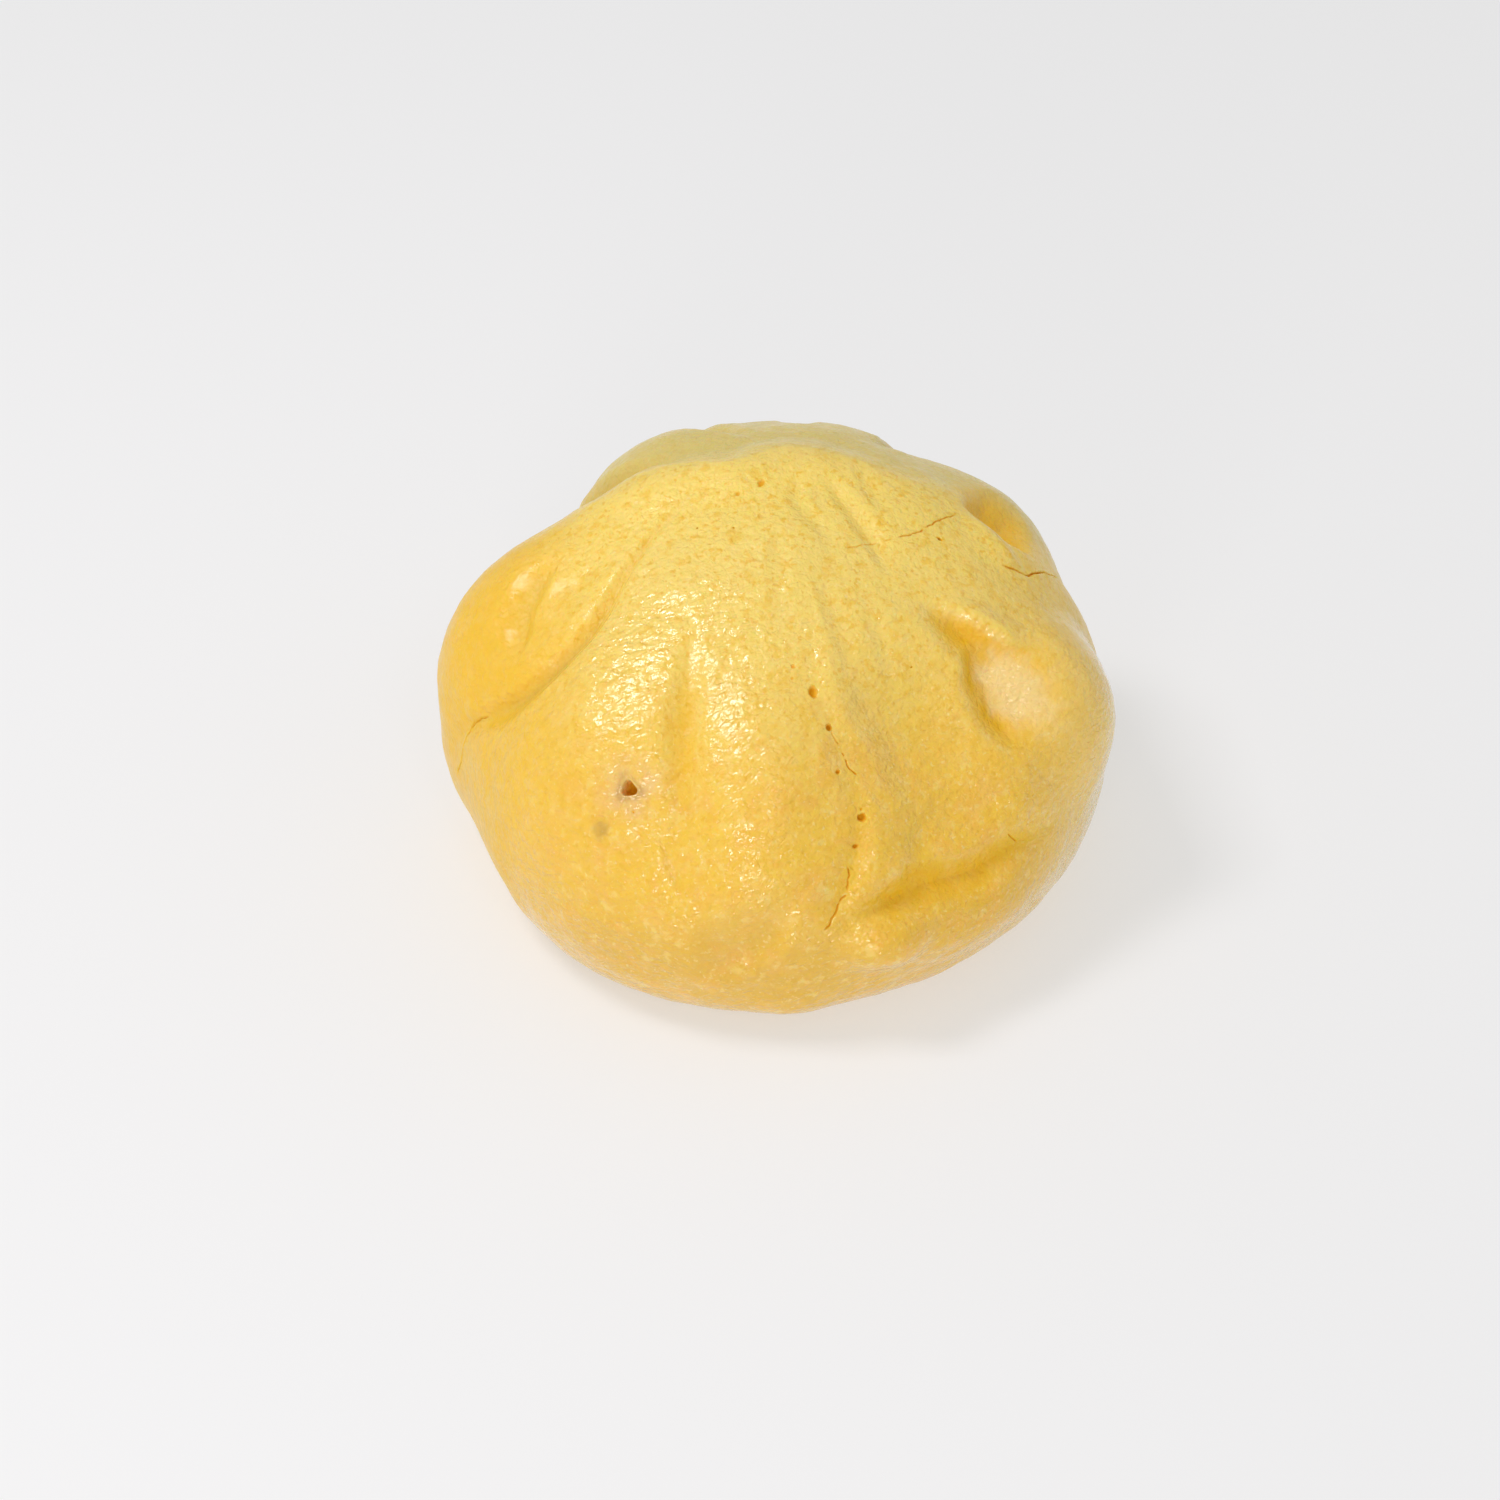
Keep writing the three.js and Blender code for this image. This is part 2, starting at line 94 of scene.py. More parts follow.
# Folds, each along a path of places, walked away from the gather.
# depth: how far a valley sinks, or with a minus sign how far a ridge stands up.
# left, right: how far the fold reaches to either side of its path at the path's end.
# sharp: from 0, a soft trough, to 1, a crease.
# grow, fade: the shares of the path over which the fold comes up and dies away.
# start: the width at the start of the path as a share of the width at its end.
Fold = namedtuple("Fold", "path depth left right sharp grow fade start")
FOLDS = {
    "crest": Fold(
        [(175, .33), (171, .22), (169, .13), (172, .065), (120, .035), (60, .04), (27, .075),
         (15, .13), (21, .22)],
        -1.7, 7, 9, .3, .3, .35, 1),
    "left crease": Fold(
        [(170, .08), (193, .14), (203, .22), (210, .29), (214.5, .36), (214, .43), (210.5, .51),
         (203.5, .6), (196, .7), (191, .81)],
        2.2, 5, 3.3, .35, .65, .5, .3),
    "left rim": Fold(
        [(198, .22), (204.5, .29), (208.5, .36), (208, .43), (204.5, .5), (197.5, .58), (190, .67)],
        -.4, 3, 6, .2, .5, .4, .7),
    "left step": Fold(
        [(190, .34), (193.5, .39), (197.5, .438), (201.5, .463), (205, .5)],
        1.3, 2.6, 5.5, .3, .3, .4, .8),
    "front valley": Fold(
        [(241.5, .275), (244.5, .32), (247.5, .37), (249.5, .43), (251, .48), (252.5, .53),
         (254, .62)],
        1.1, 4.2, 4, .1, .45, .5, .8),
    "crack valley": Fold(
        [(277, .36), (281, .44), (283.5, .53), (282, .6), (279.5, .66), (276.6, .72)],
        1, 4, 4.5, .35, 1, .15, .7),
    "crack ridge": Fold(
        [(278, .17), (281.8, .25), (282, .34), (284.5, .408), (287.4, .447), (289.5, .5),
         (291.4, .54), (292, .6)],
        -.6, 5, 3.2, .35, .6, .3, .8),
    "pleat one": Fold(
        [(300, .03), (284, .07), (287, .1), (296, .144), (294.5, .186), (293.5, .215)],
        .42, 2.8, 2.6, .15, .25, .5, .7),
    "pleat two": Fold(
        [(344, .048), (329, .094), (321.8, .137), (317, .188), (313.5, .225), (312.4, .255)],
        .75, 3, 2.2, .3, .25, .4, .8),
    "pleat three": Fold(
        [(378, .1), (356, .112), (344, .135), (334, .165)],
        .45, 2.6, 2.2, .2, .3, .5, .9),
    "dent": Fold(
        [(312.5, .275), (316.5, .306), (320.2, .34), (323.4, .373), (326, .403), (328, .44)],
        2, 3.4, 6.2, .25, .6, .35, .8),
    "facet valley": Fold(
        [(321.4, .375), (320.6, .43), (319.6, .488), (318.9, .524), (318, .57)],
        2.9, 13, 6, .3, .28, .45, .9),
    "right ridge": Fold(
        [(322, .3), (326.5, .366), (329.4, .4), (331, .43), (333, .47)],
        -1.2, 4.5, 3, .3, .5, .4, .8),
    "right groove": Fold(
        [(328.5, .34), (330.2, .37), (331.6, .394), (332.3, .42), (332.5, .45), (332.4, .49)],
        .2, 3.8, 3, .1, .4, .4, .8),
    "corner valley": Fold(
        [(296, .56), (294.5, .6), (292.5, .645), (289, .675)],
        .6, 5, 3.5, .1, .5, .3, .8),
    "roll valley": Fold(
        [(277, .73), (284, .705), (290, .69), (296, .69), (303, .703), (311, .69), (318, .697),
         (326, .715)],
        2.1, 5.8, 4.5, .4, .3, .5, .8),
    "bottom valley": Fold(
        [(273, .61), (270.5, .66), (267.5, .72), (264.5, .763), (261, .8), (257, .84)],
        1.6, 5, 8, .2, .5, .4, .8),
    "hollow": Fold(
        [(368.5, .275), (365, .348), (362.5, .425)],
        4.2, 11.5, 4.2, .25, .4, .4, .9),
    "hollow edge": Fold(
        [(361, .27), (357.5, .292), (355, .315), (353, .34), (351.7, .366), (352.7, .397)],
        -.9, 3, 5, .3, .35, .4, 1),
    "back left valley": Fold(
        [(150, .16), (157, .3), (155, .5), (154, .7)],
        3.2, 8, 6, .3, .4, .3, .6),
    "back pleat": Fold(
        [(112, .14), (117, .3), (118, .5)],
        1.8, 5, 5, .3, .4, .4, .6),
    "back valley": Fold(
        [(80, .22), (84, .36), (82, .58), (82, .78)],
        3, 8, 7, .3, .45, .3, .6),
    "back right valley": Fold(
        [(50, .2), (50, .4), (46, .62), (47, .76)],
        2.4, 7, 7, .3, .4, .3, .6),
}

# The folds painted deeper orange, as painted shade and light bounced round in their hollows
WARM_FOLDS = ("front valley", "dent", "facet valley", "roll valley", "corner valley")

# The valley that is as wet as open skin and has its colour, without the painted shade of the other
# folds
OPEN_FOLD = "bottom valley"

# Folds too fine for the solid: a small tuck under the vent hole and faint streaks off the pleats
FINE_FOLDS = {
    "tuck": Fold([(249.5, .57), (252.6, .615), (255.3, .67)], .5, 2.4, 1.3, .4, .3, .5, .8),
    "streak one": Fold([(262, .1), (268, .24), (270, .3)], .35, 3, 2.4, .1, .5, .5, .9),
    "streak two": Fold([(284, .18), (287, .3), (288, .36)], .35, 2.6, 2.4, .1, .5, .5, .9),
    "streak three": Fold([(300, .22), (298, .34), (298, .4)], .35, 2.6, 2.4, .1, .5, .5, .9),
}

# Lobes that swell out of the bun, and with a minus sign basins that sink into it: the place of
# the middle, how far it spreads across and down the slope, and its height
Lobe = namedtuple("Lobe", "at across down height")
LOBES = {
    "left": Lobe((187, .52), 17, 22, 2.6),
    "front left": Lobe((230, .5), 18, 24, 2.4),
    "front": Lobe((266, .5), 12, 22, 2.2),
    "front foot": Lobe((272, .88), 9, 9, .9),
    "front right basin": Lobe((300, .47), 16, 20, -3.6),
    "basin floor": Lobe((300, .62), 14, 9, -1.2),
    "front roll": Lobe((300, .8), 24, 8, 1.6),
    "roll end": Lobe((286, .775), 8, 6.5, 2.6),
    "right": Lobe((338, .58), 14.5, 18, 4),
    "back right": Lobe((30, .52), 18, 20, 3.2),
    "back": Lobe((100, .5), 16, 20, 2),
    "back left": Lobe((134, .36), 17, 20, 2.5),
}

# Steam pores and small pits: place, half width across, half length down the slope, depth, and
# how brown the pit is, from 0 to 1
Pit = namedtuple("Pit", "at across down depth brown")
PITS = [
    Pit((225.8, .061), .45, .7, .4, .4),
    Pit((215.8, .095), .4, .4, .25, .35),
    Pit((272.3, .328), .3, .3, .25, .3),
    Pit((272, .344), .25, .25, .2, .3),
    Pit((276.9, .363), .6, .9, .75, .5),
    Pit((279.8, .411), .42, .55, .6, .6),
    Pit((280.5, .471), .4, .34, .4, .6),
    Pit((284.2, .528), .2, .2, .15, .5),
    Pit((284.1, .54), .62, .6, .7, .6),
    Pit((282.4, .58), .4, .3, .4, .6),
    Pit((340.3, .243), .28, .28, .25, 1),
    Pit((216.7, .17), .15, .15, .1, 1),
    Pit((235.1, .144), .2, .15, .1, 1),
    Pit((304.3, .364), .22, .12, .1, 1),
    Pit((244.5, .546), .16, .16, .12, 1),
]

# Fine cracks in the skin: path, half width, depth, how far it wanders off its path, and how
# brown it is
Crack = namedtuple("Crack", "path width depth wander brown")
CRACKS = [
    Crack([(280.1, .416), (280.9, .428), (281.8, .436)], .08, .2, .1, .2),
    Crack([(282.1, .444), (282.6, .464), (283.4, .472), (284.5, .482)], .1, .3, .15, .35),
    Crack(
        [(281.2, .605), (280.6, .647), (279.2, .672), (277.4, .705), (276.2, .724)],
        .12, .3, .25, .4),
    Crack([(301.6, .182), (317.5, .188), (326.4, .199)], .1, .2, .2, .25),
    Crack(
        [(326.4, .199), (336.2, .21), (343.4, .22), (351.4, .237), (357.6, .259)],
        .11, .3, .2, .35),
    Crack(
        [(347.4, .343), (348, .356), (349.3, .372), (351.5, .398), (354.7, .415), (358.5, .442),
         (361.6, .475), (364.8, .503)],
        .14, .5, .12, .5),
    Crack([(202.8, .596), (198.5, .667), (197.5, .741), (196, .79)], .1, .25, .2, .2),
    Crack([(311, .66), (313, .69)], .09, .2, .1, .4),
]

# In how many steps a crack's path is followed, the share of the path over which it comes up at
# either end, and how far from the path its relief ends at the latest
CRACK_STEPS = 90
CRACK_ENDS = 0.12
CRACK_REACH = 1.5

# The raised lips of a crack: their height as a share of its depth, then their middle and width
# as shares of its half width
CRACK_LIP = (0.12, 3, 1.5)

# The shares of their half width over which the walls of pits, cracks and the vent hole rise
PIT_WALL = (0.45, 1.25)
CRACK_WALL = (0.3, 1.6)
VENT_WALL = (0.72, 1.02)

# Colour that lies on the skin like a lobe, with its strength for the height: the pale facet
# right of the front, a painted highlight, and the deep gold of the hollow on the right, painted
# shade and bounced light, which comes up over the directions of GOLD_EDGE and dies away past
# the hollow
PALE_PLACE = Lobe((325, .475), 6.5, 10.5, 1)
GOLD_PLACE = Lobe((370, .36), 14, 13, 1.6)
GOLD_EDGE = (-8.0, 1.0)

# The vent hole, a rounded triangle: its place, radius, how far from a circle it is, and depth
VENT_PLACE = (242.7, .518)
VENT_RADIUS = 1.05
VENT_TRIANGLE = 0.14
VENT_DEPTH = 2.4

# Its raised rim and the brown ring round it, painted shade round the hole: height or strength,
# then middle and width as shares of the hole's radius
VENT_RIM = (0.12, 1.25, 0.22)
VENT_RING = (0.7, 1.4, 0.5)

# The skin round it: how far the stain reaches, how far the skin sinks, and its fine puckers
VENT_STAIN_REACH = 6.5
VENT_SINK = 0.25
VENT_PUCKERS = 17
VENT_PUCKER_HEIGHT = 0.05

# The brown smudge under the hole, and how strong the smudge and the ring of painted shade are at
# most
SMUDGE_PLACE = (239.9, .588)
SMUDGE_REACH = 2.2
SMUDGE_AND_SHADE_STRENGTH = 0.75

# Unevenness of the skin: the size of the bumps and their height, and the seed of all that is
# random on the skin
SKIN_BUMPS = [(7.0, 0.2), (3.0, 0.1), (1.3, 0.055)]
SEED = 7

# The finest relief, left to the shading: the sizes and heights of swells, pebbles and grain
SWELL_SIZE = 2.4
SWELL_HEIGHT = 0.16
PEBBLE_SIZE = 0.8
PEBBLE_HEIGHT = 0.28
GRAIN_SIZE = 0.3
GRAIN_HEIGHT = 0.03

# The wrinkles in the glaze: their height, how much of them is in the dough under it, and how
# many times as long as wide the strokes are that make them up
WRINKLE_HEIGHT = 0.14
UNDER_GLAZE = 0.6
STROKE_THINNESS = 2.2

# The strokes on the left and the right of the front: the direction that they lie across, and
# their size
LEFT_STROKES = ((-0.15, 0.59, 0.79), 1.7)
RIGHT_STROKES = ((-0.45, 0.55, 0.70), 1.5)

# How strong the glaze is off the front, as a share of its strength there, and how far left the
# left edge of the strong glaze goes for each step forward
THIN_GLAZE = 0.3
GLAZE_SLANT = 0.56

# In metres, the stretches over which these come up: the strong glaze at its slanted left edge
# and toward the front, the wrinkles toward the front, the right strokes toward the right, and
# the pebbles toward the top
GLAZE_FROM_LEFT = (-0.022, -0.017)
GLAZE_TO_FRONT = (0.004, -0.006)
WRINKLES_TO_FRONT = (-0.004, -0.014)
STROKES_TO_RIGHT = (-0.014, -0.008)
PEBBLES_TO_TOP = (0.005, 0.020)

# The colour of the dough, and the tints that cover it in part, each over the ones before it;
# some of the tints are painted light and shade, as marked at each
DOUGH_COLOUR = (0.90, 0.55, 0.042)
DOUGH_TINTS = {
    "blotch": (0.91, 0.58, 0.040),
    # Painted sheen and light from above: paler and brighter toward the top
    "top": (0.96, 0.71, 0.16),
    # Painted shade: darker and deeper in colour toward the foot
    "foot": (0.74, 0.43, 0.02),
    "flush": (0.90, 0.49, 0.06),
    "deep mottle": (0.86, 0.52, 0.025),
    "pale mottle": (0.94, 0.67, 0.15),
    "spot": (0.83, 0.48, 0.014),
    "speck": (0.97, 0.76, 0.27),
    # Painted shade and reflection: the back beyond the crest greyer and duller, where less light
    # falls
    "high back": (0.68, 0.56, 0.18),
    # Painted sheen: paler toward the right, for the light reflected there
    "right end": (0.84, 0.61, 0.165),
    # Painted light: deeper orange toward the left, where less light is reflected
    "left end": (0.88, 0.53, 0.028),
    # Painted shade in the folds
    "sunk": (0.75, 0.51, 0.08),
    # Painted shade and bounced light in the warm folds and the hollow
    "warm": (0.89, 0.50, 0.006),
    # Painted highlight on the facet
    "pale": (1.0, 0.73, 0.30),
    "stain": (0.80, 0.53, 0.32),
    # The brown smudge under the hole, with painted shade in the ring round it
    "smudge_and_rim_shade": (0.48, 0.27, 0.05),
    "pit": (0.82, 0.42, 0.01),
    "deep pit": (0.52, 0.22, 0.006),
}

# How finely the skin is meshed: the first coarse rows and columns, the longest edge wanted on
# open skin, near a fold, at a pit or crack, and on the hidden underside, and how many times the
# edges are halved at most
COLUMNS = 144
ROWS = 52
OPEN_EDGE = 0.8
FOLD_EDGE = 0.45
DETAIL_EDGE = 0.16
UNDER_EDGE = 6.0
REFINE_ROUNDS = 5

# The camera, in millimetres and degrees, at the photograph's viewing angle
CAMERA_ELEVATION = 40.0
CAMERA_VIEW_ANGLE = 25.0
CAMERA_DISTANCE = 518.6
CAMERA_TARGET = (-3.45, 10.4, 5.63)
SENSOR_WIDTH = 36.0

# The studio: half the floor's width in metres, how light the floor is, how much light it gives
# out, and how much light comes from all round
FLOOR_HALF = 3.0
FLOOR_SHADE = 0.41
FLOOR_GLOW = 0.48
ROUND_LIGHT = 0.485

# The softboxes, with their places and sizes in metres and their power in watts, the colour of
# their light and what they face
Softbox = namedtuple("Softbox", "place size power")
SOFTBOXES = {
    "overhead softbox": Softbox((-0.30, -0.02, 0.59), (0.17, 0.21), 1.6),
    "front softbox": Softbox((-0.13, -0.59, 0.17), (0.14, 0.14), 0.82),
    "right front softbox": Softbox((0.12, -0.46, 0.50), (0.10, 0.09), 0.18),
    "right softbox": Softbox((0.50, 0.05, 0.30), (0.30, 0.30), 0.12),
}
LIGHT_COLOUR = (1, 0.97, 1)
LIGHT_TARGET = (0, 0, 0.025)


def smoothstep(low, high, value):
    """A smooth step from 0 at low to 1 at high."""
    t = np.clip((value - low) / (high - low), 0, 1)
    return t * t * (3 - 2 * t)


def hump(value, height, middle, width):
    """A smooth hump of the given height where the value is near the middle."""
    return height * np.exp(-((value - middle) / width) ** 2)


def blend(a, b, c, d, t):
    """Smooth curve value between b and c, with a and d the neighbours on either side."""
    bend = 2 * a - 5 * b + 4 * c - d
    twist = 3 * b - a - 3 * c + d
    return 0.5 * (2 * b + t * (c - a + t * (bend + t * twist)))


def noise(points, size, seed):
    """Smooth random values from -1 to 1 over space, with bumps of about the given size."""
    scaled = points / size
    cell = np.floor(scaled).astype(np.int64)
    part = scaled - cell
    part = part * part * (3 - 2 * part)
    total = np.zeros(len(points))
    for corner in range(8):
        # Large odd numbers scramble each corner of the cell into a value of its own
        step = np.array([corner & 1, (corner >> 1) & 1, corner >> 2])
        key = (cell + step) @ np.array([73856093, 19349663, 83492791]) + seed * 2654435761
        key = (key ^ (key >> 13)) * 1274126177 & 0xFFFFFFFF
        value = ((key ^ (key >> 16)) & 0xFFFF) / 32767.5 - 1
        total += value * np.prod(np.where(step, part, 1 - part), axis=1)
    return total


def outline_at(direction, column):
    """One column of OUTLINE at any direction, smooth all the way round."""
    known = OUTLINE[:, 0]
    values = OUTLINE[:, column]
    angle = np.mod(direction, TURN)
    i = np.searchsorted(known, angle, side="right") - 1
    ends = np.append(known[1:], TURN)
    t = (angle - known[i]) / (ends[i] - known[i])
    near = [values[(i + step) % len(known)] for step in (-1, 0, 1, 2)]
    return blend(*near, t)


def smooth_points(direction, share):
    """Points of the smooth bun without folds."""
    reach = outline_at(direction, 1)
    fullness = outline_at(direction, 2)
    over = np.clip(share / BELLY_SHARE, 0, 1) * math.pi / 2
    under = np.clip((share - BELLY_SHARE) / (1 - BELLY_SHARE), 0, 1) * math.pi / 2
    out = np.sin(over) ** (2 / fullness)
    rise = np.clip(np.cos(over), 0, 1) ** (2 / fullness)
    radius = reach - FOOT_INSET * (1 - np.cos(under))
    angle = np.radians(direction)
    x = GATHER_SIDE + (radius * np.cos(angle) - GATHER_SIDE) * out
    y = GATHER_BACK + (radius * np.sin(angle) - GATHER_BACK) * out
    shoulder = BELLY_HEIGHT + (HEIGHT - BELLY_HEIGHT) * rise
    z = np.where(share <= BELLY_SHARE, shoulder, BELLY_HEIGHT * (1 - np.sin(under)))
    inward = np.clip(2 - share, 0, 1)
    return np.stack([x * inward, y * inward, z], axis=-1)


def smooth_normals(direction, share):
    """Outward normals of the smooth bun, from its slopes round and down."""
    turn_step = 0.4
    share_step = 0.003
    place = np.clip(share, 4 * share_step, 1 - share_step)
    ahead = smooth_points(direction + turn_step, place)
    behind = smooth_points(direction - turn_step, place)
    below = smooth_points(direction, place + share_step)
    above = smooth_points(direction, place - share_step)
    normal = np.cross(below - above, ahead - behind)
    return normal / np.linalg.norm(normal, axis=-1, keepdims=True)


def path_line(path, steps, wander=0.0, seed=0):
    """A path of places as points on the smooth bun, with the normals there."""
    known = np.array(path, float)
    known = np.vstack([2 * known[0] - known[1], known, 2 * known[-1] - known[-2]])
    along = np.linspace(0, len(path) - 1, steps + 1)
    i = np.minimum(along.astype(int), len(path) - 2)
    t = (along - i)[:, None]
    place = blend(known[i], known[i + 1], known[i + 2], known[i + 3], t)
    points = smooth_points(place[:, 0], place[:, 1])
    normals = smooth_normals(place[:, 0], place[:, 1])
    if wander:
        side = np.cross(np.gradient(points, axis=0), normals)
        side /= np.linalg.norm(side, axis=1, keepdims=True)
        shift = noise(points, 1.6, seed) + 0.8 * noise(points, 0.6, seed + 1)
        points = points + side * (wander * shift)[:, None]
    return points, normals


def nearest_on_line(points, line):
    """For each point: its distance from a line, the share along it, and if it is on its right."""
    corners, normals = line
    spans = np.diff(corners, axis=0)
    sizes = np.linalg.norm(spans, axis=1)
    before = np.concatenate([[0], np.cumsum(sizes)])
    distance = np.full(len(points), np.inf)
    along = np.zeros(len(points))
    on_right = np.zeros(len(points), bool)
    for i, (start, span, size) in enumerate(zip(corners, spans, sizes)):
        offset = points - start
        t = np.clip(offset @ span / size ** 2, 0, 1)
        away = offset - t[:, None] * span
        here = np.linalg.norm(away, axis=1)
        closer = here < distance
        distance[closer] = here[closer]
        along[closer] = (before[i] + t[closer] * size) / before[-1]
        on_right[closer] = np.cross(span, away[closer]) @ normals[i] < 0
    return distance, along, on_right


def near_line(points, line, reach):
    """Which points are inside a line's box, widened by reach."""
    corners = line[0]
    return np.all((points > corners.min(0) - reach) & (points < corners.max(0) + reach), axis=1)


def fold_relief(points, fold):
    """How far one fold moves the skin out, and how strong the fold is, from 0 to 1."""
    relief = np.zeros(len(points))
    line = path_line(fold.path, PATH_STEPS)
    near = near_line(points, line, max(fold.left, fold.right))
    if near.any():
        distance, along, on_right = nearest_on_line(points[near], line)
        strength = smoothstep(0, fold.grow, along) * smoothstep(0, fold.fade, 1 - along)
        width = np.where(on_right, fold.right, fold.left)
        width = width * (fold.start + (1 - fold.start) * along)
        width = width * (WEAK_WIDTH + (1 - WEAK_WIDTH) * strength)
        x = np.clip(distance / width, 0, 1)
        trough = (1 - x * x) ** 2
        crease = (1 - x) ** 2
        relief[near] = -fold.depth * strength * (trough + (crease - trough) * fold.sharp)
    return relief


def tangent_axes(at):
    """The point, normal, direction round and direction down the slope at a place."""
    direction = np.array([at[0]], float)
    share = np.array([at[1]], float)
    middle = smooth_points(direction, share)[0]
    normal = smooth_normals(direction, share)[0]
    around = (smooth_points(direction + 1, share) - smooth_points(direction - 1, share))[0]
    around /= np.linalg.norm(around)
    return middle, normal, around, np.cross(around, normal)


def lobe_relief(points, lobe):
    """How far one lobe or basin moves the skin out."""
    middle, normal, around, slope = tangent_axes(lobe.at)
    offset = points - middle
    across = offset @ around / lobe.across
    down = offset @ slope / lobe.down
    through = offset @ normal / max(lobe.across, lobe.down)
    return lobe.height * np.clip(1 - across ** 2 - down ** 2 - through ** 2, 0, 1) ** 2


def pit_relief(points, pit):
    """How deep a pit is at each point, from 0 to 1."""
    middle, _, around, slope = tangent_axes(pit.at)
    offset = points - middle
    out = np.hypot(offset @ around / pit.across, offset @ slope / pit.down)
    ragged = 0.25 * noise(points, 0.5, SEED + 3)
    close = np.linalg.norm(offset, axis=1) < 3 * max(pit.across, pit.down)
    return (1 - smoothstep(*PIT_WALL, out + ragged)) * close


class Skin:
    """The finished skin at any places: its points, and where it is sunk, stained or pitted."""

    def __init__(self):
        self.folds = {**FOLDS, **FINE_FOLDS}
        self.cracks = [
            path_line(crack.path, CRACK_STEPS, crack.wander, SEED + number)
            for number, crack in enumerate(CRACKS)
        ]
        self.vent = tangent_axes(VENT_PLACE)

    def at(self, direction, share):
        """Points of the skin, and the traits there that its colour and gloss follow."""
        base = smooth_points(direction, share)
        normal = smooth_normals(direction, share)
        keep = 1 - smoothstep(FOOT_START, 1, share)
        parts = {name: fold_relief(base, fold) for name, fold in self.folds.items()}
        folds = sum(parts.values())
        lobes = sum(lobe_relief(base, lobe) for lobe in LOBES.values())
        bumps = sum(
            height * noise(base, size, SEED + number)
            for number, (size, height) in enumerate(SKIN_BUMPS)
        )
        pits, brown = self.pits(base)
        vent, stain, smudge_and_rim_shade, inside = self.vent_hole(base)
        relief = (folds + lobes + bumps + pits + vent) * keep
        points = base + normal * relief[:, None]
        points[:, 2] = np.maximum(points[:, 2], 0)
        turned = (direction + TURN / 2) % TURN - TURN / 2
        # The hollow's deep gold, painted shade and bounced light
        gold = lobe_relief(base, GOLD_PLACE) * smoothstep(*GOLD_EDGE, turned)
        return points, {
            # Painted shade and bounced light in the warm folds and the hollow
            "warm": gold - sum(parts[name] for name in WARM_FOLDS),
            # How deep the folds are: painted shade in the colour, and less gloss
            "sunk": parts[OPEN_FOLD] - folds,
            "brown": np.maximum(brown, 0.5 * inside),
            "stain": stain,
            # The brown smudge under the hole, with painted shade in the ring round it
            "smudge_and_rim_shade": smudge_and_rim_shade,
            # Painted highlight on the facet
            "pale": lobe_relief(base, PALE_PLACE),
        }

    def pits(self, base):
        """Relief and brownness of the pores, pits and cracks."""
        relief = np.zeros(len(base))
        brown = np.zeros(len(base))
        for pit in PITS:
            deep = pit_relief(base, pit)
            relief -= pit.depth * deep
            brown = np.maximum(brown, pit.brown * deep)
        for crack, line in zip(CRACKS, self.cracks):
            near = near_line(base, line, CRACK_REACH)
            if near.any():
                distance, along, _ = nearest_on_line(base[near], line)
                out = distance / crack.width
                ends = smoothstep(0, CRACK_ENDS, along) * smoothstep(0, CRACK_ENDS, 1 - along)
                broken = ends * smoothstep(-0.65, -0.3, noise(base[near], 0.9, SEED + 5))
                deep = broken * (1 - smoothstep(*CRACK_WALL, out))
                relief[near] += crack.depth * (broken * hump(out, *CRACK_LIP) - deep)
                brown[near] = np.maximum(brown[near], crack.brown * deep)
        return relief, brown

    def vent_hole(self, base):
        """Relief of the vent hole and its puckered skin, the stain, the smudge with the painted
        shade round the hole, and the inside.
        """
        middle, _, around, slope = self.vent
        offset = base - middle
        reach = np.linalg.norm(offset, axis=1)
        angle = np.arctan2(offset @ slope, offset @ around)
        out = reach / (VENT_RADIUS * (1 + VENT_TRIANGLE * np.cos(3 * angle)))
        inside = 1 - smoothstep(*VENT_WALL, out)

        # The skin is sunk round the hole, and puckered from just outside its rim
        fade = 1 - smoothstep(1.3, 0.8 * VENT_STAIN_REACH, reach)
        pucker = np.cos(VENT_PUCKERS * angle + 2.5 * noise(base, 1.6, SEED + 9))
        pucker *= fade * smoothstep(1.4, 2.2, reach)
        relief = -VENT_DEPTH * inside + hump(out, *VENT_RIM) + VENT_PUCKER_HEIGHT * pucker
        relief -= VENT_SINK * fade * (1 - inside)

        # The stain, the smudge and the painted shade of the ring are broken up into patches
        patchy = 0.62 + 0.5 * noise(base, 2.2, SEED + 11) + 0.3 * noise(base, 0.8, SEED + 12)
        stain = (1 - smoothstep(0.2, 1, reach / VENT_STAIN_REACH)) * np.clip(patchy, 0, 1)
        spot = np.linalg.norm(base - tangent_axes(SMUDGE_PLACE)[0], axis=1)
        spot = 1 - smoothstep(0, SMUDGE_REACH, spot)
        smudge_and_rim_shade = np.maximum(hump(out, *VENT_RING), spot) * smoothstep(0.3, 0.9, patchy)
        return relief, stain, SMUDGE_AND_SHADE_STRENGTH * smudge_and_rim_shade, inside

